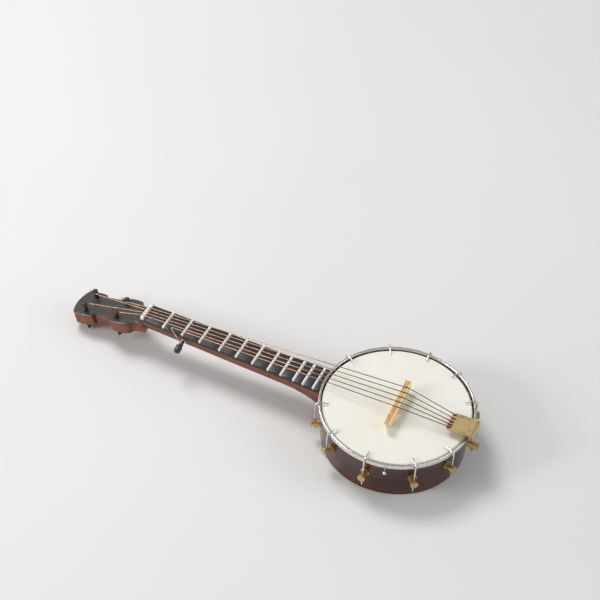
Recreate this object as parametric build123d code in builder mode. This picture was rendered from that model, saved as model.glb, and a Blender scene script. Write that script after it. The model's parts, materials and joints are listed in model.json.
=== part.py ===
from build123d import *
from math import acos, cos, degrees, radians, sin
import os

# Miniature five-string open-back banjo, lying face up on the back edge of its rim.
# Units: mm.  +X runs from the headstock to the tail, +Z is the face of the head, Z = 0 is the
# table.  The origin is under the middle of the whole instrument, so the pot stands at X = POT_X.

os.makedirs("parts", exist_ok=True)


def save(piece, name):
    """Label one finished piece and write it to its own file."""
    piece.label = name
    export_step(piece, f"parts/{name}.step")


# ------------------------------------------------------------------ driving dimensions
POT_X = 74.96            # pot axis, from the middle of the instrument
TOP = 27.0               # top of the tension hoop above the table
FIT = 0.05               # gap between two glued or seated pieces, and round a turning peg
SCREW_FIT = 0.02         # gap round a screwed piece, in place of its thread

# pot
RIM_R = 40.0             # outside of the wooden rim
RIM_WALL = 4.5
HEAD_TOP = TOP - 1.0
SKIN = 0.4               # thickness of the head
HEAD_DROP = 2.1          # depth of the head's turned-down collar
COLLAR_R = RIM_R + 0.15  # inside of the collar
COLLAR_ROUND = 1.1
LIP_R = 41.9             # outside of the collar's lip, under the flesh hoop
HOOP_R = 42.5            # outside of the tension hoop
HOOP_WALL = 1.25
HOOP_H = 2.2
FLESH_H = 0.8

# tension hooks and their bracket barrels
# (angle round the pot, drop of its bracket below the top of the hoop)
HOOKS = (
    (30, 10.8),
    (60, 11.4),
    (88, 12.4),
    (119, 13.8),
    (153, 15.0),
    (-153, 15.8),
    (-124, 13.6),
    (-90, 13.0),
    (-54, 12.8),
    (-24, 12.2),
)
HOOK_D = 0.85
HOOK_R = 43.7            # radius of the hooks' upright legs
CLAW_R = 36.9            # radius where the claw ends, over the head
HOOK_END = TOP - 19.8
BARREL_Z = TOP - 12.8    # height of the bracket that the pattern pieces are drawn at
BARREL_R = 2.0
BARREL_END = 45.8        # outer end of a bracket barrel, from the pot axis
FLANGE_R = 2.5
FLANGE_T = 0.6
NUT_R = 1.1
NUT_H = 1.6
SCREW_R = 0.8
SCREW_END = 41.8         # tip of a bracket screw, inside its barrel
SCREW_HEAD_R = 1.7
SCREW_HEAD_H = 1.3

# dowel stick across the pot, level with the tail bracket
DOWEL = 6.4
DOWEL_Z = TOP - 8.7
TENON_R = 2.3
TENON_END = -49.0        # from the pot axis, inside the heel
STUD_END = 27.0          # inner end of the stud that holds the dowel stick to the tail bracket

# neck: places along it are measured from the pot axis, towards the headstock
NUT_BACK = 154.2
NUT_FRONT = 152.1
BOARD_END = HOOP_R + 0.1
BOARD_TOP = TOP - 3.35
BOARD_T = 1.9
WOOD_TOP = BOARD_TOP - BOARD_T
HALF_AT_POT = 9.2        # half width of the neck if it ran on to the pot axis
HALF_TAPER = 0.0196      # half width lost for each mm towards the nut
NECK_SIDE = 1.2          # straight part of the neck's side, above its round back
NECK_DEPTH = 7.4         # depth of the wood at the nut
HEEL_START = 68.0        # where the neck's back starts to curve down into the heel
HEEL_STEP = 7.5          # distance between the heel's cross-sections
HEEL_DEPTHS = (9.2, 9.6, 11.3, 15.1, 20.6)
FRETS = (139.6, 127.5, 116.4, 104.0, 93.6, 83.4, 73.8, 66.0, 58.2, 52.4, 46.2)
FRET_R = 0.8
TANG_W = 0.5
TANG_H = 0.9
NUT_TOP = TOP - 1.6
NUT_SEAT = BOARD_TOP - 0.6    # bottom of the nut, in its step at the end of the fingerboard

# headstock, on a face that falls back from the nut
TILT = 12.5
FACE_Z = TOP - 6.2       # face height at the back of the nut
VENEER_T = 0.8
CORE_T = 6.6

# tuning pegs: (distance along the face, side, post height, height of the string's winding)
PEGS = ((36.4, 5.9, 5.8, 4.0), (15.7, 6.2, 4.0, 2.4), (36.4, -5.9, 5.8, 4.0), (15.7, -6.2, 4.0, 2.4))
POST_R = 1.3
PEG_HOLE_R = POST_R + FIT
STRING_D = 0.45
WIND_TURNS = 3
WIND_H = WIND_TURNS * STRING_D
BUTTON_GAP = 0.7
BUTTON_L = 3.8
BUTTON_HALF = 2.6
BUTTON_THIN = 1.15

# fifth-string peg in the neck's near side, and the pin that its string turns round
FIFTH_AT = 126.2
FIFTH_Z = TOP - 7.0
FIFTH_SLOPE = 6.0
FIFTH_R = 0.9
FIFTH_IN = 4.2
FIFTH_WIND = 3.1         # start of the winding, out from the neck's side
FIFTH_KNOB = 4.75
FIFTH_END = 9.4
KNOB_R = 1.95
FERRULE_R = 1.55
FERRULE_IN = 0.9
FERRULE_OUT = 0.6
PIP = Vector(POT_X - 134.0, -5.6, BOARD_TOP)
PIP_R = 0.3
PIP_H = 2.2
PIP_DEEP = 1.4
PIP_GRIP = 1.25          # height of the string round the pin
TURN_R = PIP_R + STRING_D / 2 + 0.45     # bend of the string round the pin

# bridge: a straight top on three feet, its ends cut back below
BRIDGE_L = 33.0
BRIDGE_T = 3.5
BRIDGE_TOP = TOP + 6.0
BRIDGE_H = BRIDGE_TOP - HEAD_TOP
BRIDGE_END_H = 1.5       # upright part of each end
BRIDGE_CUT_BACK = 4.5    # how far the feet stand in from the ends
BRIDGE_PLACE = (POT_X + 1.3, -3.3)
BRIDGE_TURN = 2.8
BRIDGE_BEND = 1.3        # where the strings bend, from the middle towards the tailpiece
SLOT_FIT = 0.3
ARCH_W = 7.6
ARCH_H = 3.4
ARCH_AT = 6.0            # middle of each arch, from the middle of the bridge

# tailpiece
PLATE_T = 0.8
PLATE_FRONT = 30.0
PLATE_HALF = 6.3
PLATE_Z = TOP + 3.2      # top of the plate at its front edge
PLATE_RISE = 1.1         # how much higher it is at the fold
STRAP_R = 44.6           # middle of the folded strap and its stem, from the pot axis
STEM_R = 0.65
STEM_TOP = TOP - 6.1
STEM_END = DOWEL_Z - 4.8
TAIL_END = 48.6
ANCHOR_AT = 32.4         # row of string holes
ANCHOR_R = 0.55

# strings, from the far side to the near side; the last one is the short fifth string
NUT_Y = (2.4, 0.2, -2.0, -4.2)
BRIDGE_Y = (8.3, 4.45, 0.6, -3.1, -6.8)
ANCHOR_Y = (4.4, 1.8, -0.7, -2.8, -4.7)
STRING_PEG = (1, 0, 2, 3)                # which peg each of the four long strings goes to
NUT_STRING_Z = TOP - 2.1
BRIDGE_STRING_Z = BRIDGE_TOP + 0.05
STOP_SHORT = 1.4         # the straight string ends this far before its peg's winding

# small headed pin in the near side of the rim
PIN_ANGLE = -75.0
PIN_DROP = 12.0
PIN_Z = TOP - 4.3
PIN_R = 0.4
PIN_DEEP = 2.8
PIN_OUT = 4.0
PIN_HEAD_R = 1.1
PIN_HEAD_H = 0.7

POT = Plane(origin=(POT_X, 0, 0))
STANDING = (Align.CENTER, Align.CENTER, Align.MIN)
BARREL_SIDE = Plane(origin=(0, 0, BARREL_Z), x_dir=(1, 0, 0), z_dir=(0, -1, 0))
BARREL_AXIS = Axis((0, 0, BARREL_Z), (1, 0, 0))
HOOK_PLACES = [Location((POT_X, 0, 0), (0, 0, angle)) for angle, drop in HOOKS]
BRACKET_PLACES = [Location((POT_X, 0, TOP - drop - BARREL_Z), (0, 0, angle)) for angle, drop in HOOKS]
TAIL_PLACE = Location((POT_X, 0, DOWEL_Z - BARREL_Z))
PIN = Plane(
    POT.location
    * Location((0, 0, 0), (0, 0, PIN_ANGLE))
    * Location((RIM_R, 0, PIN_Z), (0, 90 + PIN_DROP, 0))
)
TILT_SIN = sin(radians(TILT))
TILT_COS = cos(radians(TILT))
FACE = Plane(
    origin=(POT_X - NUT_BACK, 0, FACE_Z),
    x_dir=(-TILT_COS, 0, -TILT_SIN),
    z_dir=(-TILT_SIN, 0, TILT_COS),
)
FACE_UP = Axis((0, 0, 0), FACE.z_dir)


def half_width(from_pot):
    """Half width of the neck and fingerboard at a distance from the pot axis."""
    return HALF_AT_POT - HALF_TAPER * from_pot


def on_face(along, side, height):
    """A point over the headstock's face: along it from the nut, to +Y, and above it."""
    return FACE.from_local_coords(Vector(along, -side, height))


def rod(points, radii, diameter):
    """A round rod or wire along straight runs joined by tangent arcs."""
    with BuildPart() as wire:
        with BuildLine() as path:
            FilletPolyline(*points, radius=radii)
        with BuildSketch(Plane(origin=path.line @ 0, z_dir=path.line % 0)):
            Circle(diameter / 2)
        sweep()
    return wire.part


def winding(plane, inner):
    """Close turns of string round a post, as one ridged sleeve standing on a plane."""
    outer = inner + STRING_D
    turn = STRING_D / 2
    with BuildPart() as coil:
        with BuildSketch(plane):
            Circle(inner + turn)
            Circle(inner + FIT / 2, mode=Mode.SUBTRACT)
        extrude(amount=WIND_H)
        for number in range(WIND_TURNS):
            with Locations(plane.offset((number + 0.5) * STRING_D)):
                Torus(outer - turn, turn)
    return coil.part


# ------------------------------------------------------------------ rim and head
with BuildPart() as rim:
    with BuildSketch(POT):
        Circle(RIM_R)
        Circle(RIM_R - RIM_WALL, mode=Mode.SUBTRACT)
    extrude(amount=HEAD_TOP - SKIN)
    fillet(rim.edges().filter_by(GeomType.CIRCLE).group_by(Axis.Z)[-1], 0.8)
    fillet(rim.edges().filter_by(GeomType.CIRCLE).group_by(Axis.Z)[0], 0.5)
    screw_places = [*BRACKET_PLACES, TAIL_PLACE]
    with Locations([place * Location((0, 0, BARREL_Z), (0, 90, 0)) for place in screw_places]):
        Cylinder(SCREW_R + FIT, RIM_R + 2, align=STANDING, mode=Mode.SUBTRACT)
    with Locations(POT.location * Location((0, 0, DOWEL_Z), (0, -90, 0))):
        Cylinder(TENON_R + FIT, RIM_R + 2, align=STANDING, mode=Mode.SUBTRACT)
    with Locations(PIN.location):
        Cylinder(PIN_R, 2 * PIN_DEEP + 0.4, mode=Mode.SUBTRACT)
save(rim.part, "rim")

with BuildPart() as head:
    with BuildSketch(POT.offset(HEAD_TOP - HEAD_DROP)):
        Circle(COLLAR_R + SKIN)
    extrude(amount=HEAD_DROP)
    fillet(head.edges().group_by(Axis.Z)[-1], COLLAR_ROUND)
    with BuildSketch(POT.offset(HEAD_TOP - HEAD_DROP - SKIN)):
        Circle(LIP_R)
    extrude(amount=SKIN)
    with BuildSketch(POT.offset(HEAD_TOP - HEAD_DROP - SKIN)):
        Circle(COLLAR_R)
    extrude(amount=HEAD_DROP, mode=Mode.SUBTRACT)
save(head.part, "head")

FLESH_Z = HEAD_TOP - HEAD_DROP + FIT
with BuildPart() as flesh_hoop:
    with BuildSketch(POT.offset(FLESH_Z)):
        Circle(LIP_R)
        Circle(COLLAR_R + SKIN + 2 * FIT, mode=Mode.SUBTRACT)
    extrude(amount=FLESH_H)
    fillet(flesh_hoop.edges(), 0.25)
save(flesh_hoop.part, "flesh_hoop")

with BuildPart() as tension_hoop:
    with BuildSketch(POT.offset(TOP - HOOP_H)):
        Circle(HOOP_R)
        Circle(HOOP_R - HOOP_WALL, mode=Mode.SUBTRACT)
    extrude(amount=HOOP_H)
    fillet(tension_hoop.edges().group_by(Axis.Z)[-1], 0.45)
save(tension_hoop.part, "tension_hoop")

# ------------------------------------------------------------------ hooks, barrels, nuts, screws
hook = rod(
    [(CLAW_R, 0, TOP - 0.1), (40.2, 0, TOP + 0.45), (HOOK_R, 0, TOP + 0.45), (HOOK_R, 0, HOOK_END)],
    [2.0, 1.4],
    HOOK_D,
)
with BuildPart() as tension_hooks:
    with Locations(HOOK_PLACES):
        add(hook)
save(tension_hooks.part, "tension_hooks")


def barrel(end, cross_at, cross_r):
    """A turned bracket barrel along +X, with a flange on the rim, a rolled end and a cross hole."""
    seat = RIM_R + SCREW_FIT
    with BuildPart() as body:
        with BuildSketch(BARREL_SIDE):
            with BuildLine():
                Polyline(
                    (SCREW_END + 0.2, 0),
                    (SCREW_END + 0.2, SCREW_R),
                    (seat, SCREW_R),
                    (seat, FLANGE_R),
                    (seat + FLANGE_T, FLANGE_R),
                    (seat + FLANGE_T, BARREL_R),
                    (end - 0.9, BARREL_R),
                    (end - 0.75, BARREL_R + 0.2),
                    (end - 0.25, BARREL_R + 0.2),
                    (end, BARREL_R - 0.2),
                    (end, 0),
                    close=True,
                )
            make_face()
        revolve(axis=BARREL_AXIS)
        with Locations((cross_at, 0, BARREL_Z)):
            Cylinder(cross_r, 3 * BARREL_R, mode=Mode.SUBTRACT)
    return body.part


hook_barrel = barrel(BARREL_END, HOOK_R, HOOK_D / 2 + 0.1)
with BuildPart() as bracket_barrels:
    with Locations(BRACKET_PLACES):
        add(hook_barrel)
save(bracket_barrels.part, "bracket_barrels")


def hex_nut(at, bore):
    """A small hexagonal nut under a barrel."""
    with BuildPart() as nut_body:
        with BuildSketch(Plane(origin=(at, 0, BARREL_Z - BARREL_R - SCREW_FIT))):
            RegularPolygon(NUT_R, 6)
            Circle(bore, mode=Mode.SUBTRACT)
        extrude(amount=-NUT_H)
    return nut_body.part


hook_nut = hex_nut(HOOK_R, HOOK_D / 2 + SCREW_FIT)
with BuildPart() as hook_nuts:
    with Locations(BRACKET_PLACES):
        add(hook_nut)
save(hook_nuts.part, "hook_nuts")

HEAD_SEAT = RIM_R - RIM_WALL - FIT
with BuildPart() as bracket_screw:
    with BuildSketch(BARREL_SIDE):
        with BuildLine():
            Line((HEAD_SEAT - SCREW_HEAD_H, 0), (SCREW_END, 0))
            Polyline(
                (SCREW_END, 0),
                (SCREW_END, SCREW_R - SCREW_FIT),
                (HEAD_SEAT, SCREW_R - SCREW_FIT),
                (HEAD_SEAT, SCREW_HEAD_R),
                (HEAD_SEAT - 0.4, SCREW_HEAD_R),
            )
            ThreePointArc(
                (HEAD_SEAT - 0.4, SCREW_HEAD_R),
                (HEAD_SEAT - SCREW_HEAD_H + 0.2, SCREW_HEAD_R * 0.6),
                (HEAD_SEAT - SCREW_HEAD_H, 0),
            )
        make_face()
    revolve(axis=BARREL_AXIS)
    with Locations((HEAD_SEAT - SCREW_HEAD_H, 0, BARREL_Z)):
        Box(1.0, 2 * SCREW_HEAD_R, 0.5, mode=Mode.SUBTRACT)
with BuildPart() as bracket_screws:
    with Locations(BRACKET_PLACES):
        add(bracket_screw.part)
save(bracket_screws.part, "bracket_screws")

# ------------------------------------------------------------------ tailpiece and its bracket
with BuildPart() as tailpiece:
    with BuildSketch(Plane.XZ):
        with BuildLine():
            Polyline(
                (POT_X + PLATE_FRONT, PLATE_Z),
                (POT_X + STRAP_R + PLATE_T / 2, PLATE_Z + PLATE_RISE),
                (POT_X + STRAP_R + PLATE_T / 2, STEM_TOP - 0.4),
                (POT_X + STRAP_R - PLATE_T / 2, STEM_TOP - 0.4),
                (POT_X + STRAP_R - PLATE_T / 2, PLATE_Z + PLATE_RISE - PLATE_T),
                (POT_X + PLATE_FRONT, PLATE_Z - PLATE_T),
                close=True,
            )
        make_face()
    extrude(amount=PLATE_HALF, both=True)
    fillet(tailpiece.edges().filter_by(Axis.Y).group_by(Axis.X)[-1].sort_by(Axis.Z)[-1], 1.1)
    fillet(tailpiece.edges().filter_by(Axis.Z).group_by(Axis.X)[0], 1.6)
    with BuildSketch(Plane.YZ.offset(POT_X)):
        with BuildLine():
            Polyline((0, TOP + 6), (-PLATE_HALF, TOP + 6), (-PLATE_HALF, TOP + 2.6))
            ThreePointArc((-PLATE_HALF, TOP + 2.6), (-3.9, TOP - 1.9), (-STEM_R - 0.1, STEM_TOP))
            Polyline((-STEM_R - 0.1, STEM_TOP), (-STEM_R - 0.1, STEM_TOP - 1), (0, STEM_TOP - 1))
            mirror(about=Plane.YZ)
        make_face()
    extrude(amount=2 * STRAP_R, mode=Mode.INTERSECT)
    with BuildSketch(Plane.XY.offset(STEM_END)):
        with Locations((POT_X + STRAP_R, 0)):
            Circle(STEM_R)
    extrude(amount=STEM_TOP - STEM_END)
    with Locations([(POT_X + ANCHOR_AT, y, PLATE_Z) for y in ANCHOR_Y]):
        Cylinder(ANCHOR_R, 4, mode=Mode.SUBTRACT)
save(tailpiece.part, "tailpiece")

with BuildPart() as tail_bracket:
    with Locations(TAIL_PLACE):
        add(barrel(TAIL_END, STRAP_R, STEM_R + 0.1))
save(tail_bracket.part, "tail_bracket")

with BuildPart() as tail_nut:
    with Locations(TAIL_PLACE):
        add(hex_nut(STRAP_R, STEM_R + SCREW_FIT))
save(tail_nut.part, "tail_nut")

# ------------------------------------------------------------------ dowel stick and its stud
with BuildPart() as dowel_stick:
    with BuildSketch(Plane(origin=(POT_X, 0, DOWEL_Z))):
        Rectangle(2 * RIM_R, DOWEL)
    extrude(amount=DOWEL / 2, both=True)
    with BuildSketch(POT):
        Circle(RIM_R - RIM_WALL - FIT)
    extrude(amount=TOP, mode=Mode.INTERSECT)
    chamfer(dowel_stick.edges().filter_by(Axis.X), 0.6)
    with BuildSketch(Plane(origin=(POT_X - 30, 0, DOWEL_Z), x_dir=(0, 1, 0), z_dir=(-1, 0, 0))):
        Circle(TENON_R)
    extrude(amount=-30 - TENON_END)
    with BuildSketch(Plane(origin=(POT_X + STUD_END, 0, DOWEL_Z), x_dir=(0, 1, 0), z_dir=(1, 0, 0))):
        Circle(SCREW_R)
    extrude(amount=RIM_R, mode=Mode.SUBTRACT)
save(dowel_stick.part, "dowel_stick")

with BuildPart() as end_stud:
    with BuildSketch(Plane(origin=(POT_X + STUD_END, 0, DOWEL_Z), x_dir=(0, 1, 0), z_dir=(1, 0, 0))):
        Circle(SCREW_R - SCREW_FIT)
    extrude(amount=SCREW_END - STUD_END)
    chamfer(end_stud.edges(), 0.2)
save(end_stud.part, "end_stud")


# ------------------------------------------------------------------ headstock and neck
def headstock_outline(plane, start):
    """The scrolled outline: two lobes by the nut, a step, and a notched crown with a round tip."""
    with BuildSketch(plane) as outline:
        with BuildLine():
            Polyline((start, 0), (start, 6.8), (0.5, 6.8))
            ThreePointArc((0.5, 6.8), (3.0, 6.5), (5.6, 7.3))
            Line((5.6, 7.3), (7.0, 9.6))
            ThreePointArc((7.0, 9.6), (12.6, 10.3), (18.6, 9.6))
            Polyline((18.6, 9.6), (20.6, 7.7), (29.5, 7.6), (30.2, 6.9), (30.8, 9.2))
            ThreePointArc((30.8, 9.2), (35.6, 9.8), (40.4, 9.6))
            ThreePointArc((40.4, 9.6), (42.8, 9.2), (44.1, 7.4))
            mirror(about=Plane.XZ)
            ThreePointArc((44.1, 7.4), (45.4, 0), (44.1, -7.4))
        make_face()
    return outline.sketch


def neck_section(from_pot, depth):
    """One cross-section of the neck: flat on top, short straight sides and a round back."""
    half = half_width(from_pot)
    upright = Plane(origin=(POT_X - from_pot, 0, WOOD_TOP), x_dir=(0, 1, 0), z_dir=(1, 0, 0))
    with BuildSketch(upright) as section:
        with BuildLine():
            Polyline((-half, -NECK_SIDE), (-half, 0), (half, 0), (half, -NECK_SIDE))
            EllipticalCenterArc((0, -NECK_SIDE), half, depth - NECK_SIDE, 180, arc_size=180)
        make_face()
    return section.sketch


FIFTH_SIDE = half_width(FIFTH_AT)
FIFTH = Plane(
    origin=(POT_X - FIFTH_AT, -FIFTH_SIDE, FIFTH_Z),
    x_dir=(1, 0, 0),
    z_dir=(0, -cos(radians(FIFTH_SLOPE)), -sin(radians(FIFTH_SLOPE))),
)

with BuildPart() as neck:
    loft([neck_section(NUT_BACK, NECK_DEPTH), neck_section(HEEL_START, HEEL_DEPTHS[0])])
    loft([neck_section(HEEL_START - HEEL_STEP * i, depth) for i, depth in enumerate(HEEL_DEPTHS)])
    extrude(headstock_outline(FACE.offset(-VENEER_T), -1.6), amount=-CORE_T)
    with BuildSketch(POT):
        Circle(RIM_R + FIT)
    extrude(amount=TOP, mode=Mode.SUBTRACT)
    with Locations(Location((POT_X, 0, DOWEL_Z), (0, -90, 0))):
        Cylinder(TENON_R + FIT, 0.5 - TENON_END, align=STANDING, mode=Mode.SUBTRACT)
    for along, side, post_h, wrap_h in PEGS:
        with BuildSketch(FACE):
            with Locations((along, -side)):
                Circle(PEG_HOLE_R)
        extrude(amount=-VENEER_T - 2 * CORE_T, mode=Mode.SUBTRACT)
    with BuildSketch(FIFTH.offset(-FIFTH_IN - 0.2)):
        Circle(FIFTH_R + FIT)
    extrude(amount=FIFTH_IN + 2, mode=Mode.SUBTRACT)
    with BuildSketch(FIFTH.offset(-FERRULE_IN)):
        Circle(FERRULE_R)
    extrude(amount=FERRULE_IN + 2, mode=Mode.SUBTRACT)
save(neck.part, "neck")

with BuildPart() as headstock_veneer:
    extrude(headstock_outline(FACE.offset(-VENEER_T), 0.2), amount=VENEER_T)
    with BuildSketch(FACE):
        with Locations([(along, -side) for along, side, post_h, wrap_h in PEGS]):
            Circle(PEG_HOLE_R)
    extrude(amount=-VENEER_T, mode=Mode.SUBTRACT)
save(headstock_veneer.part, "headstock_veneer")

with BuildPart() as fingerboard:
    with BuildSketch(Plane.XY.offset(WOOD_TOP)):
        with BuildLine():
            Polyline(
                (POT_X - NUT_BACK, half_width(NUT_BACK)),
                (POT_X - 38, half_width(38)),
                (POT_X - 38, -half_width(38)),
                (POT_X - NUT_BACK, -half_width(NUT_BACK)),
                close=True,
            )
        make_face()
    extrude(amount=BOARD_T)
    with BuildSketch(POT):
        Circle(BOARD_END)
    extrude(amount=TOP, mode=Mode.SUBTRACT)
    with Locations([(POT_X - at, 0, BOARD_TOP) for at in FRETS]):
        Box(TANG_W, 30, 2 * TANG_H, mode=Mode.SUBTRACT)
    with Locations((POT_X - NUT_BACK, 0, NUT_SEAT)):
        Box(2 * (NUT_BACK - NUT_FRONT), 30, BOARD_T, align=STANDING, mode=Mode.SUBTRACT)
    with Locations(PIP):
        Cylinder(PIP_R, 2 * PIP_DEEP, mode=Mode.SUBTRACT)
save(fingerboard.part, "fingerboard")

with BuildPart() as frets:
    for at in FRETS:
        with BuildSketch(Plane(origin=(POT_X - at, 0, BOARD_TOP), x_dir=(1, 0, 0), z_dir=(0, -1, 0))):
            with BuildLine():
                ThreePointArc((-FRET_R, 0), (0, FRET_R), (FRET_R, 0))
                Line((FRET_R, 0), (-FRET_R, 0))
            make_face()
            with Locations((0, -TANG_H / 2)):
                Rectangle(TANG_W, TANG_H)
        extrude(amount=half_width(at), both=True)
save(frets.part, "frets")

with BuildPart() as nut:
    with Locations((POT_X - (NUT_BACK + NUT_FRONT) / 2, 0, NUT_SEAT)):
        Box(NUT_BACK - NUT_FRONT, 2 * half_width(NUT_FRONT), NUT_TOP - NUT_SEAT, align=STANDING)
    fillet(nut.edges().group_by(Axis.Z)[-1], 0.7)
    for y in NUT_Y:
        with Locations(Location((POT_X - NUT_FRONT, y, NUT_STRING_Z), (0, 90, 0))):
            Cylinder(STRING_D / 2 + 0.12, 10, mode=Mode.SUBTRACT)
        with Locations((POT_X - NUT_FRONT, y, NUT_STRING_Z)):
            Box(10, STRING_D + 0.24, 2, align=STANDING, mode=Mode.SUBTRACT)
save(nut.part, "nut")

# ------------------------------------------------------------------ tuning pegs and windings
BACK = -VENEER_T - CORE_T
for number, (along, side, post_h, wrap_h) in enumerate(PEGS, start=1):
    base = Plane(origin=on_face(along, side, 0), x_dir=FACE.x_dir, z_dir=FACE.z_dir)
    with BuildPart() as tuning_peg:
        with BuildSketch(base.offset(BACK - BUTTON_GAP)):
            Ellipse(BUTTON_THIN, BUTTON_HALF)
        extrude(amount=-BUTTON_L)
        fillet(tuning_peg.edges().group_by(FACE_UP)[0], 0.5)
        with BuildSketch(base.offset(BACK - BUTTON_GAP - 1)):
            Circle(POST_R)
        extrude(amount=post_h - BACK + BUTTON_GAP + 1)
        fillet(tuning_peg.edges().group_by(FACE_UP)[-1], 1.0)
    save(tuning_peg.part, f"tuning_peg_{number}")
    save(winding(base.offset(wrap_h - WIND_H / 2), POST_R), f"string_winding_{number}")

FIFTH_SIDEWAYS = Plane(origin=FIFTH.origin, x_dir=FIFTH.z_dir, z_dir=FIFTH.x_dir.cross(FIFTH.z_dir))
with BuildPart() as fifth_peg:
    with BuildSketch(FIFTH_SIDEWAYS):
        with BuildLine():
            Polyline(
                (FIFTH_END, 0),
                (-FIFTH_IN, 0),
                (-FIFTH_IN, FIFTH_R),
                (FIFTH_KNOB, FIFTH_R),
                (FIFTH_KNOB + 0.1, KNOB_R - 0.5),
                (FIFTH_KNOB + 0.7, KNOB_R),
                (FIFTH_END - 1.7, KNOB_R),
            )
            ThreePointArc(
                (FIFTH_END - 1.7, KNOB_R),
                (FIFTH_END - 0.5, KNOB_R - 0.5),
                (FIFTH_END, 0.4),
            )
            Line((FIFTH_END, 0.4), (FIFTH_END, 0))
        make_face()
    revolve(axis=Axis(FIFTH.origin, FIFTH.z_dir))
save(fifth_peg.part, "fifth_peg")
save(winding(FIFTH.offset(FIFTH_WIND), FIFTH_R), "fifth_winding")

with BuildPart() as fifth_ferrule:
    with BuildSketch(FIFTH.offset(-FERRULE_IN + FIT)):
        Circle(FERRULE_R - FIT)
        Circle(FIFTH_R + FIT, mode=Mode.SUBTRACT)
    extrude(amount=FERRULE_IN + FERRULE_OUT)
    fillet(fifth_ferrule.edges().group_by(Axis((0, 0, 0), FIFTH.z_dir))[-1], 0.15)
save(fifth_ferrule.part, "fifth_ferrule")

with BuildPart() as fifth_pip:
    with Locations(PIP + Vector(0, 0, -PIP_DEEP)):
        Cylinder(PIP_R, PIP_DEEP + PIP_H, align=STANDING)
    fillet(fifth_pip.edges().group_by(Axis.Z)[-1], 0.2)
save(fifth_pip.part, "fifth_pip")

# ------------------------------------------------------------------ bridge
BRIDGE_SIDE = Plane(
    origin=(*BRIDGE_PLACE, HEAD_TOP),
    x_dir=(-sin(radians(BRIDGE_TURN)), cos(radians(BRIDGE_TURN)), 0),
    z_dir=(cos(radians(BRIDGE_TURN)), sin(radians(BRIDGE_TURN)), 0),
)
with BuildPart() as bridge:
    with BuildSketch(BRIDGE_SIDE):
        with BuildLine():
            Polyline(
                (-BRIDGE_L / 2, BRIDGE_H),
                (-BRIDGE_L / 2, BRIDGE_H - BRIDGE_END_H),
                (-BRIDGE_L / 2 + BRIDGE_CUT_BACK, 0),
                (BRIDGE_L / 2 - BRIDGE_CUT_BACK, 0),
                (BRIDGE_L / 2, BRIDGE_H - BRIDGE_END_H),
                (BRIDGE_L / 2, BRIDGE_H),
                close=True,
            )
        make_face()
        with Locations((-ARCH_AT, 0), (ARCH_AT, 0)):
            Ellipse(ARCH_W / 2, ARCH_H, mode=Mode.SUBTRACT)
    extrude(amount=BRIDGE_T / 2, both=True)
    for y in BRIDGE_Y:
        with Locations(Location((BRIDGE_PLACE[0], y, BRIDGE_STRING_Z), (0, 90, 0))):
            Cylinder(STRING_D / 2 + SLOT_FIT, 3 * BRIDGE_T, mode=Mode.SUBTRACT)
save(bridge.part, "bridge")

# ------------------------------------------------------------------ strings


def tangent(point, centre, radius, normal, way):
    """Where a straight string from a point first touches a circle, as a direction from its centre."""
    out = point - centre
    turn = way * degrees(acos(radius / out.length))
    return out.normalized().rotate(Axis((0, 0, 0), normal), turn)


def string_end(corner, touch):
    """The straight string's last point, just short of its peg's winding."""
    return touch + (corner - touch).normalized() * STOP_SHORT


def tail_points(number):
    """The first points of a string: up through its hole in the tailpiece and over the bridge."""
    x = POT_X + ANCHOR_AT
    y = ANCHOR_Y[number]
    return [
        Vector(x, y, PLATE_Z - 1.7),
        Vector(x, y, PLATE_Z + 0.55),
        Vector(BRIDGE_PLACE[0] + BRIDGE_BEND, BRIDGE_Y[number], BRIDGE_STRING_Z),
    ]


for number in range(4):
    along, side, post_h, wrap_h = PEGS[STRING_PEG[number]]
    inward = -1 if side > 0 else 1
    touch = on_face(along, side + inward * (POST_R + STRING_D / 2), wrap_h)
    corner = Vector(POT_X - NUT_BACK + 0.1, NUT_Y[number], NUT_STRING_Z)
    route = [*tail_points(number), corner, string_end(corner, touch)]
    save(rod(route, [0.8, 3.0, 2.0], STRING_D), f"string_{number + 1}")

# the fifth string turns round its pin and runs back to the side peg
wound = FIFTH.origin + FIFTH.z_dir * (FIFTH_WIND + WIND_H / 2)
round_pin = PIP + Vector(0, 0, PIP_GRIP)
upward = Vector(round_pin.Z - wound.Z, 0, wound.X - round_pin.X).normalized()
touch = wound + upward * (FIFTH_R + STRING_D / 2)
over_bridge = tail_points(4)[-1]
normal = (over_bridge - round_pin).cross(touch - round_pin)
arrive = tangent(over_bridge, round_pin, TURN_R, normal, -1)
leave = tangent(touch, round_pin, TURN_R, normal, 1)
half_turn = arrive.get_angle(leave) / 2
pin_corner = round_pin + (arrive + leave).normalized() * (TURN_R / cos(radians(half_turn)))
route = [*tail_points(4), pin_corner, string_end(pin_corner, touch)]
save(rod(route, [0.8, 3.0, TURN_R], STRING_D), "string_5")

# ------------------------------------------------------------------ small headed pin in the rim
with BuildPart() as rim_pin:
    with BuildSketch(PIN.offset(-PIN_DEEP)):
        Circle(PIN_R - SCREW_FIT)
    extrude(amount=PIN_DEEP + PIN_OUT)
    with BuildSketch(PIN.offset(PIN_OUT)):
        Circle(PIN_HEAD_R)
    extrude(amount=PIN_HEAD_H)
    fillet(rim_pin.edges().filter_by(GeomType.CIRCLE).sort_by(Axis.Y)[:2], 0.15)
save(rim_pin.part, "rim_pin")
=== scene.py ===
import json
from math import cos, pi, radians, sin, tan

import bmesh
import bpy
from mathutils import Matrix, Vector

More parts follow.
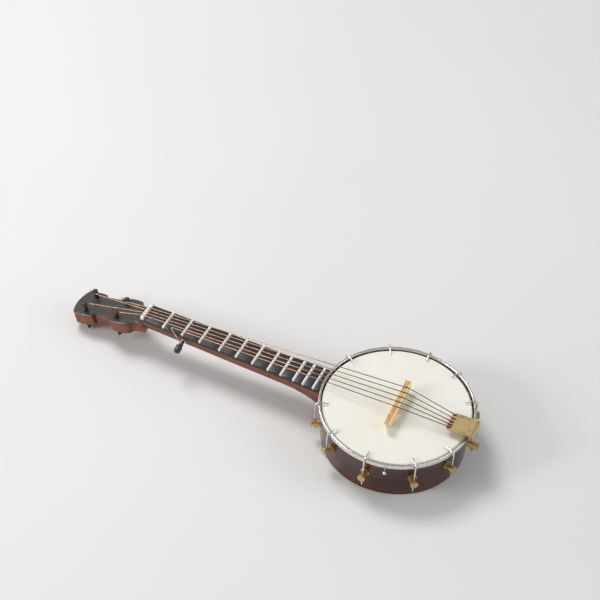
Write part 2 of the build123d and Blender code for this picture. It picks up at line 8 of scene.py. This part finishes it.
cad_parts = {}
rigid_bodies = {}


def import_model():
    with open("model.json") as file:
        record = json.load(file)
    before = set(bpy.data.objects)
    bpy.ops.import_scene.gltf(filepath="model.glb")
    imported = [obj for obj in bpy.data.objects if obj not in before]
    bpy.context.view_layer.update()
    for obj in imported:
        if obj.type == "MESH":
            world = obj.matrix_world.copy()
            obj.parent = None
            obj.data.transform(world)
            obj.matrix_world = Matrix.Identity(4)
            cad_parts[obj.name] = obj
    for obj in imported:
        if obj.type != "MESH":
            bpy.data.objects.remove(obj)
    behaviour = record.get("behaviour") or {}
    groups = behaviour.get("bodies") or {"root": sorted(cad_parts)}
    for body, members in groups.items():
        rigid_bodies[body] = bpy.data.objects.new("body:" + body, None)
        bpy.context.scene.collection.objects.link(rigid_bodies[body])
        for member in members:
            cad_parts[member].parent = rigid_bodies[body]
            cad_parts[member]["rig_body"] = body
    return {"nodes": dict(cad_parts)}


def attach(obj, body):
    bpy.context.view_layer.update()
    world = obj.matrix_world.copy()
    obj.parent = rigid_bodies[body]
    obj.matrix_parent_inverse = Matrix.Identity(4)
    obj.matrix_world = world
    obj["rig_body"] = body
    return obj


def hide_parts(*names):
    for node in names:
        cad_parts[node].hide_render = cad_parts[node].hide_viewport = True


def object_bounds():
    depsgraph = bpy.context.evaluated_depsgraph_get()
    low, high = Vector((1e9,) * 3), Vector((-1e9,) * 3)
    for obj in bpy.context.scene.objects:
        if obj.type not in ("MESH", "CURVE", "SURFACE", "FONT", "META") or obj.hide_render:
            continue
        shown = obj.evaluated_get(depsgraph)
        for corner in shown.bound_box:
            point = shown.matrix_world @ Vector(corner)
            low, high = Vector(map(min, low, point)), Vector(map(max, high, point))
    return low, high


# Looks for a miniature five-string open-back banjo, lying face up on a pale floor.
# Shapes below are written in millimetres and become metres in make_piece().

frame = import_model()
cad_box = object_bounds()

MM = 0.001

# ------------------------------------------------------------------ dimensions the pieces share
POT_X = 74.96            # pot axis
TOP = 27.0               # top of the tension hoop
BOARD_TOP = 23.65
NUT_BACK = 154.2         # back of the nut, from the pot axis
NUT_SLOT_Z = 24.9
STRING_R = 0.225
STRING_SIDES = 10
STRING_Y_NUT = (2.4, 0.2, -2.0, -4.2)
STRING_Y_BRIDGE = (8.3, 4.45, 0.6, -3.1, -6.8)
STRING_Y_TAIL = (4.4, 1.8, -0.7, -2.8, -4.7)
TAIL_HOLE_X = POT_X + 32.4
PLATE_Z = 30.2
BRIDGE_PLACE = (POT_X + 1.3, -3.3)
BRIDGE_TURN = radians(2.8)
BRIDGE_X = BRIDGE_PLACE[0] + 1.3     # where the strings bend
BRIDGE_Z = 33.05
TILT = radians(12.5)     # the headstock falls back from the nut by this much
FACE_ORIGIN = Vector((POT_X - NUT_BACK, 0, TOP - 6.2))
FACE_ALONG = Vector((-cos(TILT), 0, -sin(TILT)))
FACE_UP = Vector((-sin(TILT), 0, cos(TILT)))
PEGS = ((36.4, 5.9, 5.8, 4.0), (15.7, 6.2, 4.0, 2.4), (36.4, -5.9, 5.8, 4.0), (15.7, -6.2, 4.0, 2.4))
PEG_OF_STRING = (1, 0, 2, 3)
POST_R = 1.3
FIFTH_AXIS = Vector((0, -cos(radians(6)), -sin(radians(6))))
FIFTH_ROOT = Vector((POT_X - 126.2, -(9.2 - 0.0196 * 126.2), TOP - 7.0))
FIFTH_R = 0.9
FIFTH_COIL = 3.1 + 1.5 * 2 * STRING_R    # middle of the fifth string's winding, out from the neck
PIP = Vector((POT_X - 134.0, -5.6, BOARD_TOP + 1.25))
HOOK_ANGLES = (30, 60, 88, 119, 153, -153, -124, -90, -54, -24)
HOOK_END = TOP - 19.8
HOOK_R = 43.7            # a hook's leg, from the pot axis
CLAW_TIP = 36.9
CLAW_CREST = 40.2
CLAW_Z = TOP + 0.45
THREAD_TOP = TOP - 9.0
THREAD_PITCH = 0.36
LEG_R = 0.42
RIM_R = 40               # turns an angle round the pot into a length along its wall
TWIST_R = 0.17           # the loose end wound round a string at the tailpiece


# ------------------------------------------------------------------ node helpers
def add(tree, kind, inputs=None, **settings):
    """Add a shader node; an input is a socket to link or a plain value."""
    node = tree.nodes.new("ShaderNode" + kind)
    for name, value in settings.items():
        setattr(node, name, value)
    for name, value in (inputs or {}).items():
        if isinstance(value, bpy.types.NodeSocket):
            tree.links.new(value, node.inputs[name])
        else:
            node.inputs[name].default_value = value
    return node


def maths(tree, operation, a, b=0.0):
    """The result of one math operation."""
    return add(tree, "Math", {0: a, 1: b}, operation=operation).outputs[0]


def stretched(tree, vector, scale):
    """Texture coordinates scaled along each axis."""
    return add(tree, "Mapping", {"Vector": vector, "Scale": scale}).outputs[0]


def noise(tree, vector, scale, detail=4.0, distortion=0.0, roughness=0.55):
    """Grey noise from 0 to 1."""
    inputs = {
        "Vector": vector,
        "Scale": scale,
        "Detail": detail,
        "Roughness": roughness,
        "Distortion": distortion,
    }
    return add(tree, "TexNoise", inputs).outputs[0]


def ramp(tree, factor, *stops):
    """A colour ramp; each stop is (place, red, green, blue)."""
    node = add(tree, "ValToRGB", {"Fac": factor})
    elements = node.color_ramp.elements
    while len(elements) < len(stops):
        elements.new(0.5)
    for element, (place, red, green, blue) in zip(elements, stops):
        element.position = place
        element.color = (red, green, blue, 1.0)
    return node.outputs[0]


def spread(tree, factor, low, high, new_low, new_high):
    """A value moved from one range to another, and held inside it."""
    inputs = {0: factor, 1: low, 2: high, 3: new_low, 4: new_high}
    return add(tree, "MapRange", inputs).outputs[0]


def mixed(tree, factor, a, b):
    """Two colours mixed."""
    node = add(tree, "Mix", data_type="RGBA")
    for place, value in ((0, factor), (6, a), (7, b)):
        if isinstance(value, bpy.types.NodeSocket):
            tree.links.new(value, node.inputs[place])
        else:
            node.inputs[place].default_value = value
    return node.outputs[2]


def bumped(tree, height, strength, distance):
    """A bumped normal; the distance is in metres."""
    inputs = {"Height": height, "Strength": strength, "Distance": distance}
    return add(tree, "Bump", inputs).outputs[0]


def start_material(name):
    """A material with its own shader, and its object coordinates in metres."""
    material = bpy.data.materials.new(name)
    material.use_nodes = True
    tree = material.node_tree
    shader = tree.nodes["Principled BSDF"]
    place = add(tree, "TexCoord").outputs["Object"]
    return material, tree, shader, place


def set_inputs(tree, shader, **inputs):
    """Set or link a shader's inputs; an underscore in a name stands for a space."""
    for name, value in inputs.items():
        socket = shader.inputs[name.replace("_", " ")]
        if isinstance(value, bpy.types.NodeSocket):
            tree.links.new(value, socket)
        else:
            socket.default_value = value


def round_pot(tree, place):
    """Coordinates that run round the pot: along its wall, out from its axis, and up."""
    axes = add(tree, "SeparateXYZ", {0: place})
    from_axis = maths(tree, "SUBTRACT", axes.outputs[0], POT_X * MM)
    angle = maths(tree, "ARCTAN2", axes.outputs[1], from_axis)
    along = maths(tree, "MULTIPLY", angle, RIM_R * MM)
    square = maths(tree, "ADD", maths(tree, "MULTIPLY", from_axis, from_axis),
                   maths(tree, "MULTIPLY", axes.outputs[1], axes.outputs[1]))
    out = maths(tree, "SQRT", square)
    return add(tree, "CombineXYZ", {0: along, 1: out, 2: axes.outputs[2]}).outputs[0]


# ------------------------------------------------------------------ materials
def wood(name, dark, middle, light, gloss, coat=0.45, ring=False):
    """Wood with bands of grain, dark open pores along it, and a film of varnish."""
    material, tree, shader, place = start_material(name)
    if ring:
        place = round_pot(tree, place)
    broad = noise(tree, stretched(tree, place, (9, 160, 160)), 1.0, 3.0, 0.6)
    fine = noise(tree, stretched(tree, place, (40, 1500, 1500)), 1.0, 5.0, 0.2)
    grain = maths(tree, "ADD", maths(tree, "MULTIPLY", broad, 0.62),
                  maths(tree, "MULTIPLY", fine, 0.38))
    colour = ramp(tree, grain, (0.34, *dark), (0.5, *middle), (0.66, *light))
    streaks = noise(tree, stretched(tree, place, (110, 3600, 3600)), 1.0, 2.0)
    pore = spread(tree, streaks, 0.60, 0.70, 0.0, 0.75)
    deep = (dark[0] * 0.35, dark[1] * 0.35, dark[2] * 0.35, 1)
    colour = mixed(tree, pore, colour, deep)
    worn = noise(tree, place, 90, 5.0, 0.4)
    rough = spread(tree, worn, 0.3, 0.7, gloss * 0.75, gloss * 1.5)
    relief = maths(tree, "SUBTRACT", maths(tree, "MULTIPLY", fine, 0.4), pore)
    set_inputs(tree, shader, Base_Color=colour, Roughness=rough,
               Normal=bumped(tree, relief, 0.25, 0.00005), Coat_Weight=coat, Coat_Roughness=0.12)
    return material


def metal(name, base, stain, gloss, stain_share, scratch=0.12, metallic=1.0):
    """Plated or solid metal with faint scratches, handling marks and some tarnish."""
    material, tree, shader, place = start_material(name)
    cloud = noise(tree, place, 260, 6.0, 0.8, 0.62)
    spots = noise(tree, place, 1300, 3.0)
    tarnish = spread(tree, maths(tree, "MULTIPLY", cloud, maths(tree, "ADD", spots, 0.5)),
                     0.42, 0.72, 0.0, stain_share)
    colour = mixed(tree, tarnish, (*base, 1), (*stain, 1))
    lines = noise(tree, stretched(tree, place, (900, 9000, 5200)), 1.0, 3.0, 0.3)
    rough = spread(tree, cloud, 0.3, 0.75, gloss * 0.7, gloss * 1.7)
    rough = maths(tree, "ADD", rough, maths(tree, "MULTIPLY", tarnish, 0.3))
    set_inputs(tree, shader, Base_Color=colour, Metallic=metallic, Roughness=rough,
               Normal=bumped(tree, lines, scratch, 0.00002))
    return material


def ebony(name, face, streak, gloss, coat):
    """Black stained wood: short fine pores, brown streaks and a waxed or lacquered face."""
    material, tree, shader, place = start_material(name)
    broad = noise(tree, stretched(tree, place, (14, 230, 230)), 1.0, 4.0, 0.7)
    pores = noise(tree, stretched(tree, place, (160, 3400, 3400)), 1.0, 3.0)
    colour = mixed(tree, spread(tree, broad, 0.5, 0.72, 0.0, 0.7), (*face, 1), (*streak, 1))
    smear = noise(tree, place, 120, 5.0, 0.5)
    rough = spread(tree, smear, 0.3, 0.7, gloss * 0.8, gloss * 1.4)
    set_inputs(tree, shader, Base_Color=colour, Roughness=rough, Coat_Weight=coat, Coat_Roughness=0.16,
               Normal=bumped(tree, pores, 0.2, 0.00004))
    return material


def head_material():
    """The cream head: a frosted coat over a slightly cloudy skin, with faint rubbed patches."""
    material, tree, shader, place = start_material("head_skin")
    cloud = noise(tree, place, 34, 6.0, 0.5)
    fleck = noise(tree, place, 2600, 3.0)
    rubbed = noise(tree, stretched(tree, place, (60, 150, 60)), 1.0, 4.0, 1.0)
    colour = ramp(tree, cloud, (0.3, 0.915, 0.875, 0.765), (0.5, 0.945, 0.915, 0.825),
                  (0.7, 0.96, 0.935, 0.86))
    colour = mixed(tree, spread(tree, fleck, 0.62, 0.75, 0.0, 0.12), colour, (0.74, 0.66, 0.5, 1))
    rough = spread(tree, rubbed, 0.35, 0.7, 0.38, 0.6)
    set_inputs(tree, shader, Base_Color=colour, Roughness=rough, Subsurface_Weight=0.12,
               Subsurface_Scale=0.0015, Normal=bumped(tree, fleck, 0.18, 0.00003))
    shader.inputs["Subsurface Radius"].default_value = (1.0, 0.7, 0.45)
    return material


def bone_material():
    """Polished bone: pale, with faint darker lines."""
    material, tree, shader, place = start_material("bone")
    lines = noise(tree, stretched(tree, place, (1800, 260, 1500)), 1.0, 4.0)
    cloud = noise(tree, place, 420, 4.0)
    colour = ramp(tree, cloud, (0.3, 0.83, 0.79, 0.68), (0.6, 0.93, 0.91, 0.85))
    colour = mixed(tree, spread(tree, lines, 0.6, 0.75, 0.0, 0.25), colour, (0.62, 0.54, 0.4, 1))
    rough = spread(tree, cloud, 0.3, 0.7, 0.2, 0.36)
    set_inputs(tree, shader, Base_Color=colour, Roughness=rough, Subsurface_Weight=0.15,
               Subsurface_Scale=0.001, Normal=bumped(tree, lines, 0.15, 0.00002))
    return material


def wound_string(name, base, dull, over_head_shade_colour):
    """Copper-coloured wire with the fine ridges of its winding, painted darker over the head as painted
    shade and dark reflection.
    """
    material, tree, shader, place = start_material(name)
    axes = add(tree, "SeparateXYZ", {0: place})
    # painted shade: the wire darkens over the head, standing in for the shade and dark reflections it
    # shows there
    over_head_shade_mask = spread(tree, axes.outputs[0], (POT_X - 62) * MM, (POT_X - 30) * MM, 0.0, 1.0)
    lean = maths(tree, "ADD", axes.outputs[0], maths(tree, "MULTIPLY", axes.outputs[2], 0.5))
    ridges = maths(tree, "SINE", maths(tree, "MULTIPLY", lean, 2 * pi / (0.19 * MM)))
    cloud = noise(tree, place, 500, 4.0, 0.5)
    colour = mixed(tree, spread(tree, cloud, 0.4, 0.7, 0.0, 0.8), (*base, 1), (*dull, 1))
    colour = mixed(tree, over_head_shade_mask, colour, (*over_head_shade_colour, 1))
    rough = spread(tree, cloud, 0.3, 0.7, 0.24, 0.42)
    set_inputs(tree, shader, Base_Color=colour, Metallic=1.0, Roughness=rough,
               Normal=bumped(tree, ridges, 0.35, 0.00003))
    return material


def bridge_material():
    """The bridge: a stained top with dark flecks in its grain, paler sides, and painted highlights along
    the top's long edges.
    """
    material, tree, shader, place = start_material("maple")
    place_turned = add(tree, "Mapping", {"Vector": place, "Rotation": (0, 0, radians(-94))}).outputs[0]
    flecks = noise(tree, stretched(tree, place_turned, (420, 1500, 700)), 1.0, 3.0, 1.2)
    broad = noise(tree, stretched(tree, place_turned, (60, 500, 260)), 1.0, 4.0, 0.4)
    up = add(tree, "SeparateXYZ", {0: add(tree, "NewGeometry").outputs["Normal"]}).outputs[2]
    top = ramp(tree, broad, (0.3, 0.66, 0.32, 0.11), (0.5, 0.82, 0.46, 0.19), (0.7, 0.90, 0.58, 0.28))
    top = mixed(tree, spread(tree, flecks, 0.50, 0.62, 0.0, 0.85), top, (0.30, 0.12, 0.04, 1))
    axes = add(tree, "SeparateXYZ", {0: place})
    from_x = maths(tree, "SUBTRACT", axes.outputs[0], BRIDGE_PLACE[0] * MM)
    from_y = maths(tree, "SUBTRACT", axes.outputs[1], BRIDGE_PLACE[1] * MM)
    across = maths(tree, "ADD", maths(tree, "MULTIPLY", from_x, cos(BRIDGE_TURN)),
                   maths(tree, "MULTIPLY", from_y, sin(BRIDGE_TURN)))
    # painted highlight: pale bands along both long edges of the top, where the rounded edges catch the
    # light
    tail_edge_highlight = spread(tree, across, 0.85 * MM, 1.15 * MM, 0.0, 1.0)
    nut_edge_highlight = spread(tree, across, -1.60 * MM, -1.35 * MM, 0.75, 0.0)
    top = mixed(tree, maths(tree, "MAXIMUM", tail_edge_highlight, nut_edge_highlight), top, (0.93, 0.80, 0.52, 1))
    side = ramp(tree, broad, (0.3, 0.80, 0.58, 0.28), (0.6, 0.93, 0.78, 0.46))
    side = mixed(tree, spread(tree, flecks, 0.6, 0.75, 0.0, 0.45), side, (0.55, 0.33, 0.13, 1))
    colour = mixed(tree, spread(tree, up, 0.8, 0.95, 0.0, 1.0), side, top)
    rough = spread(tree, broad, 0.3, 0.7, 0.34, 0.55)
    set_inputs(tree, shader, Base_Color=colour, Roughness=rough, Coat_Weight=0.15,
               Normal=bumped(tree, flecks, 0.25, 0.00005))
    return material


def floor_material():
    """A plain pale floor."""
    material, tree, shader, place = start_material("floor")
    cloud = noise(tree, place, 3.0, 3.0)
    colour = ramp(tree, cloud, (0.3, 0.80, 0.80, 0.80), (0.7, 0.84, 0.84, 0.84))
    set_inputs(tree, shader, Base_Color=colour, Roughness=0.7)
    return material


LOOKS = {
    "rim_wood": wood("rim_wood", (0.022, 0.004, 0.003), (0.060, 0.011, 0.007), (0.115, 0.020, 0.011),
                     0.16, 0.25, ring=True),
    "neck_wood": wood("neck_wood", (0.070, 0.016, 0.007), (0.190, 0.047, 0.020), (0.300, 0.085, 0.036),
                      0.26, 0.15),
    "dowel_wood": wood("dowel_wood", (0.23, 0.11, 0.045), (0.40, 0.22, 0.10), (0.52, 0.31, 0.16), 0.42),
    "board": ebony("board", (0.016, 0.015, 0.017), (0.034, 0.024, 0.020), 0.42, 0.1),
    "veneer": ebony("veneer", (0.055, 0.050, 0.049), (0.085, 0.066, 0.058), 0.22, 1.0),
    "peg_wood": ebony("peg_wood", (0.020, 0.015, 0.014), (0.050, 0.028, 0.020), 0.3, 0.5),
    "head": head_material(),
    "bone": bone_material(),
    "maple": bridge_material(),
    "nickel": metal("nickel", (0.80, 0.79, 0.77), (0.56, 0.53, 0.48), 0.18, 0.22, 0.02),
    # the frets are part diffuse near-white (metallic 0.45): painted sheen standing in for their bright
    # reflection of the overhead light
    "fret_metal_with_sheen": metal("fret_metal_with_sheen", (0.95, 0.95, 0.94), (0.74, 0.72, 0.68), 0.45, 0.15, 0.12, 0.45),
    "brass": metal("brass", (0.68, 0.50, 0.24), (0.40, 0.26, 0.11), 0.28, 0.5, 0.1),
    "plate_brass": metal("plate_brass", (0.60, 0.46, 0.23), (0.40, 0.27, 0.12), 0.36, 0.45, 0.1),
    # the third colour is the painted shade the strings take over the head
    "wire": wound_string("wire", (0.80, 0.50, 0.37), (0.48, 0.25, 0.16), (0.12, 0.075, 0.055)),
    # the pegs' windings are the string's own wire painted nearly black: painted shade
    "shaded_coil_wire": wound_string("shaded_coil_wire", (0.15, 0.070, 0.050), (0.06, 0.03, 0.022), (0.06, 0.03, 0.022)),
    "tail_wire": metal("tail_wire", (0.72, 0.40, 0.30), (0.30, 0.13, 0.09), 0.3, 0.5),
    # near black so the thin gap inside the tension hoop reads dark: painted shade on the flesh hoop
    "dark_iron": metal("dark_iron", (0.045, 0.040, 0.036), (0.02, 0.017, 0.015), 0.5, 0.6),
}


# ------------------------------------------------------------------ mesh helpers
def make_piece(name, verts, faces, look, body, replaces=(), smooth=40):
    """Build a mesh piece from millimetre points, with its material, and ride it on a body."""
    mesh = bpy.data.meshes.new(name)
    mesh.from_pydata([Vector(v) * MM for v in verts], [], faces)
    mesh.validate()
    mesh.shade_smooth()
    mesh.set_sharp_from_angle(angle=radians(smooth))
    piece = bpy.data.objects.new(name, mesh)
    bpy.context.scene.collection.objects.link(piece)
    mesh.materials.append(LOOKS[look])
    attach(piece, body)
    if replaces:
        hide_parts(*replaces)
    return piece


def joined(parts):
    """Several (points, faces) meshes as one."""
    verts, faces = [], []
    for part_verts, part_faces in parts:
        start = len(verts)
        verts += part_verts
        faces += [[index + start for index in face] for face in part_faces]
    return verts, faces


def tube(points, radius, sides=STRING_SIDES):
    """A round tube along points; radius is one number or one for each point."""
    points = [Vector(p) for p in points]
    radii = radius if isinstance(radius, (list, tuple)) else [radius] * len(points)
    verts, faces = [], []
    ahead = (points[1] - points[0]).normalized()
    side = ahead.orthogonal().normalized()
    for i, point in enumerate(points):
        before = points[max(i - 1, 0)]
        after = points[min(i + 1, len(points) - 1)]
        ahead = (after - before).normalized()
        side = (side - ahead * side.dot(ahead)).normalized()
        up = ahead.cross(side)
        for k in range(sides):
            turn = 2 * pi * k / sides
            verts.append(point + (side * cos(turn) + up * sin(turn)) * radii[i])
    for i in range(len(points) - 1):
        for k in range(sides):
            a, b = i * sides + k, i * sides + (k + 1) % sides
            faces.append([a, b, b + sides, a + sides])
    faces.append(list(range(sides))[::-1])
    last = (len(points) - 1) * sides
    faces.append([last + k for k in range(sides)])
    return verts, faces


def rounded(points, radii, steps=8):
    """Straight runs joined by arcs, as a list of points."""
    points = [Vector(p) for p in points]
    made = [points[0]]
    for before, corner, after, radius in zip(points, points[1:], points[2:], radii):
        into, out = (before - corner).normalized(), (after - corner).normalized()
        half = into.angle(out) / 2
        middle = corner + (into + out).normalized() * (radius / sin(half))
        first = (corner + into * (radius / tan(half)) - middle).normalized()
        last = (corner + out * (radius / tan(half)) - middle).normalized()
        for step in range(steps + 1):
            made.append(middle + first.slerp(last, step / steps) * radius)
    made.append(points[-1])
    return made


def helix(centre, axis, start, radius, turns, rise, steps=22):
    """Points on a helix: start is the direction, seen from the centre, of its first point."""
    axis = Vector(axis).normalized()
    start = (start - axis * start.dot(axis)).normalized()
    other = axis.cross(start)
    count = int(abs(turns) * steps)
    made = []
    for i in range(count + 1):
        turn = 2 * pi * turns * i / count
        lift = rise * (i / count - 0.5)
        made.append(centre + axis * lift + (start * cos(turn) + other * sin(turn)) * radius)
    return made


def eased(node, look, width, segments):
    """A copy of a CAD node with its sharp edges softly rounded, in place of the node."""
    source = frame["nodes"][node]
    mesh = source.data.copy()
    mesh.name = node + "_eased"
    shape = bmesh.new()
    shape.from_mesh(mesh)
    bmesh.ops.remove_doubles(shape, verts=shape.verts, dist=0.000002)
    bmesh.ops.dissolve_limit(shape, angle_limit=radians(0.5), verts=shape.verts, edges=shape.edges)
    sharp = [e for e in shape.edges if len(e.link_faces) == 2 and e.calc_face_angle(0) > radians(32)]
    bmesh.ops.bevel(shape, geom=sharp, offset=width * MM, segments=segments, profile=0.5,
                    affect="EDGES", clamp_overlap=True)
    bmesh.ops.remove_doubles(shape, verts=shape.verts, dist=0.000001)
    bmesh.ops.recalc_face_normals(shape, faces=shape.faces)
    shape.to_mesh(mesh)
    shape.free()
    if "custom_normal" in mesh.attributes:
        mesh.attributes.remove(mesh.attributes["custom_normal"])
    mesh.shade_smooth()
    mesh.set_sharp_from_angle(angle=radians(28))
    mesh.materials.clear()
    mesh.materials.append(LOOKS[look])
    piece = bpy.data.objects.new(node + "_eased", mesh)
    bpy.context.scene.collection.objects.link(piece)
    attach(piece, source["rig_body"])
    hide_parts(node)
    return piece


def paint(node, look):
    """Give a CAD node its material."""
    node_object = frame["nodes"][node]
    node_object.data.materials.clear()
    node_object.data.materials.append(LOOKS[look])


# ------------------------------------------------------------------ CAD nodes that keep their shape
KEPT = {
    "rim": "rim_wood",
    "dowel_stick": "dowel_wood",
    "head": "head",
    "flesh_hoop": "dark_iron",
    "tension_hoop": "nickel",
    "bracket_barrels": "brass",
    "hook_nuts": "nickel",
    "bracket_screws": "brass",
    "tailpiece": "plate_brass",
    "tail_bracket": "brass",
    "tail_nut": "brass",
    "end_stud": "brass",
    "frets": "fret_metal_with_sheen",
    "fifth_pip": "nickel",
    "fifth_ferrule": "nickel",
    "rim_pin": "nickel",
    "fifth_peg": "peg_wood",
    "tuning_peg_1": "peg_wood",
    "tuning_peg_2": "peg_wood",
    "tuning_peg_3": "peg_wood",
    "tuning_peg_4": "peg_wood",
}
for node, look in KEPT.items():
    paint(node, look)

eased("neck", "neck_wood", 0.35, 3)
eased("headstock_veneer", "veneer", 0.45, 1)
eased("fingerboard", "board", 0.15, 2)
eased("nut", "bone", 0.15, 2)
eased("bridge", "maple", 0.25, 3)


# ------------------------------------------------------------------ tension hooks
def hook_mesh(angle):
    """One hook: a claw that thickens over the hoop, a round leg, and a threaded end."""
    path = rounded(
        [(CLAW_TIP, 0, TOP - 0.1), (CLAW_CREST, 0, CLAW_Z), (HOOK_R, 0, CLAW_Z), (HOOK_R, 0, HOOK_END)],
        [2.0, 1.4],
    )
    claw = path[:-1]
    points = [claw[0].lerp(claw[1], t) for t in (0, 0.25, 0.5, 0.75)] + claw[1:]
    radii = []
    for point in points:
        share = min(max((point.x - CLAW_TIP) / 5.0, 0), 1)
        radii.append(0.30 + 0.2 * share)
    for height in (THREAD_TOP + 0.3, THREAD_TOP):
        points.append(Vector((HOOK_R, 0, height)))
        radii.append(LEG_R)
    count = int((THREAD_TOP - HOOK_END) / (THREAD_PITCH / 2))
    for i in range(1, count):
        points.append(Vector((HOOK_R, 0, THREAD_TOP - i * THREAD_PITCH / 2)))
        radii.append(0.36 if i % 2 else 0.425)
    points.append(Vector((HOOK_R, 0, HOOK_END)))
    radii.append(0.3)
    verts, faces = tube(points, radii, 14)
    turn = Matrix.Rotation(radians(angle), 3, "Z")
    return [turn @ v + Vector((POT_X, 0, 0)) for v in verts], faces


verts, faces = joined([hook_mesh(angle) for angle in HOOK_ANGLES])
make_piece("hook_set", verts, faces, "nickel", "instrument", ["tension_hooks"], 50)


# ------------------------------------------------------------------ strings and their windings
def on_face(along, side, height):
    """A point over the headstock's face."""
    return FACE_ORIGIN + FACE_ALONG * along + Vector((0, side, 0)) + FACE_UP * height


def tail_run(number):
    """Route of a string from inside its tailpiece hole to the bridge."""
    y = STRING_Y_TAIL[number]
    return [
        Vector((TAIL_HOLE_X + 0.1, y, PLATE_Z - 1.5)),
        Vector((TAIL_HOLE_X, y, PLATE_Z + 0.5)),
        Vector((BRIDGE_X, STRING_Y_BRIDGE[number], BRIDGE_Z)),
    ]


def tail_twist(number):
    """The string's own end, twisted round it in front of the tailpiece hole."""
    hole, bridge = tail_run(number)[1:]
    ahead = (bridge - hole).normalized()
    first = hole + ahead * 0.9
    middle = hole + ahead * 2.3
    turns = helix(middle, ahead, Vector((0, 0.3, 1)), STRING_R + 0.16, 4.5, 2.8, 14)
    under = [
        Vector((TAIL_HOLE_X, hole.y + 0.25, PLATE_Z - 0.9)),
        Vector((TAIL_HOLE_X, hole.y + 0.3, PLATE_Z + 0.35)),
    ]
    return tube(under + [first.lerp(turns[0], 0.6)] + turns, TWIST_R, 8)


def wrapped(post, axis, start, radius, way):
    """A peg's coil of string: four turns, and the cut end standing off it."""
    coil = helix(post, axis, start, radius, 4.1 * way, 1.75)
    last, before = coil[-1], coil[-2]
    away = (last - before).normalized()
    out = (last - post - axis * (last - post).dot(axis)).normalized()
    stub = [last + away * 0.5 + out * 0.1, last + away * 1.0 + out * 0.35 + axis * 0.35,
            last + away * 1.35 + out * 0.6 + axis * 0.9]
    return tube(coil + stub, STRING_R, STRING_SIDES)


for number in range(4):
    peg = PEG_OF_STRING[number]
    along, side, post_height, wrap_height = PEGS[peg]
    inward = -1 if side > 0 else 1
    coil_r = POST_R + STRING_R
    touch = on_face(along, side + inward * coil_r, wrap_height)
    nut_corner = Vector((POT_X - NUT_BACK + 0.1, STRING_Y_NUT[number], NUT_SLOT_Z))
    route = rounded([*tail_run(number), nut_corner, touch], [0.6, 3.0, 2.0])
    verts, faces = tube(route, STRING_R)
    make_piece(f"string_{number + 1}_wire", verts, faces, "wire", "instrument",
               [f"string_{number + 1}"])
    centre = on_face(along, side, wrap_height)
    verts, faces = wrapped(centre, FACE_UP, touch - centre, coil_r, inward)
    make_piece(f"winding_{peg + 1}_wire", verts, faces, "shaded_coil_wire", f"tuner_{peg + 1}",
               [f"string_winding_{peg + 1}"])

# the fifth string turns round its pin and runs back to the side peg
coil_centre = FIFTH_ROOT + FIFTH_AXIS * FIFTH_COIL
up_side = Vector((PIP.z - coil_centre.z, 0, coil_centre.x - PIP.x)).normalized()
touch = coil_centre + up_side * (FIFTH_R + STRING_R)
pin_turn = []
for step in range(13):
    turn = radians(90 + (238 - 90) * step / 12)
    pin_turn.append(PIP + Vector((cos(turn) * 0.55, sin(turn) * 0.55, 0.12 - 0.3 * step / 12)))
route = rounded([*tail_run(4), pin_turn[0]], [0.6, 3.0])[:-1] + pin_turn + [touch]
verts, faces = tube(route, STRING_R)
make_piece("string_5_wire", verts, faces, "wire", "instrument", ["string_5"])
verts, faces = wrapped(coil_centre, FIFTH_AXIS, touch - coil_centre, FIFTH_R + STRING_R, 1)
make_piece("fifth_winding_wire", verts, faces, "shaded_coil_wire", "fifth_tuner", ["fifth_winding"])


for number in range(5):
    verts, faces = tail_twist(number)
    make_piece(f"tail_twist_{number + 1}", verts, faces, "tail_wire", "instrument")


# ------------------------------------------------------------------ floor, lights and camera
floor_mesh = bpy.data.meshes.new("floor")
FLOOR_HALF = 4.0
corners = ((-1, -1), (1, -1), (1, 1), (-1, 1))
floor_mesh.from_pydata([(x * FLOOR_HALF, y * FLOOR_HALF, 0) for x, y in corners], [], [(0, 1, 2, 3)])
floor_mesh.materials.append(floor_material())
floor = bpy.data.objects.new("floor", floor_mesh)
floor.location.z = cad_box[0][2] - 0.00005
bpy.context.scene.collection.objects.link(floor)


def area_light(name, place, target, size, power, colour=(1, 1, 1)):
    """A square soft light that faces a target."""
    data = bpy.data.lights.new(name, "AREA")
    data.shape = "SQUARE"
    data.size = size
    data.energy = power
    data.color = colour
    light = bpy.data.objects.new(name, data)
    light.location = place
    light.rotation_euler = (Vector(target) - Vector(place)).to_track_quat("-Z", "Y").to_euler()
    bpy.context.scene.collection.objects.link(light)
    return light


area_light("key", (-0.60, 0.30, 1.05), (0.02, 0, 0), 0.45, 7.5, (1.0, 0.985, 0.96))
area_light("front", (-0.80, -0.75, 0.60), (0, 0, 0), 0.35, 5.5, (1.0, 0.99, 0.98))
area_light("side", (0.90, 0.25, 0.60), (0, 0, 0), 0.5, 2.0, (0.95, 0.97, 1.0))

world = bpy.data.worlds.new("studio")
world.use_nodes = True
world.node_tree.nodes["Background"].inputs["Color"].default_value = (1.0, 1.0, 1.0, 1)
world.node_tree.nodes["Background"].inputs["Strength"].default_value = 0.34
bpy.context.scene.world = world
bpy.context.scene.view_settings.view_transform = "Standard"

camera_data = bpy.data.cameras.new("camera")
camera_data.lens = 102.0
camera_data.sensor_width = 36.0
camera = bpy.data.objects.new("camera", camera_data)
right = Vector((0.9007, 0.4322, 0.0449))
up = Vector((-0.3361, 0.6276, 0.7024))
back = Vector((0.2754, -0.6476, 0.7105))
turned = Matrix((right, up, back)).transposed().to_4x4()
camera.matrix_world = Matrix.Translation(Vector((260.0, -577.4, 711.1)) * MM) @ turned
bpy.context.scene.collection.objects.link(camera)
bpy.context.scene.camera = camera
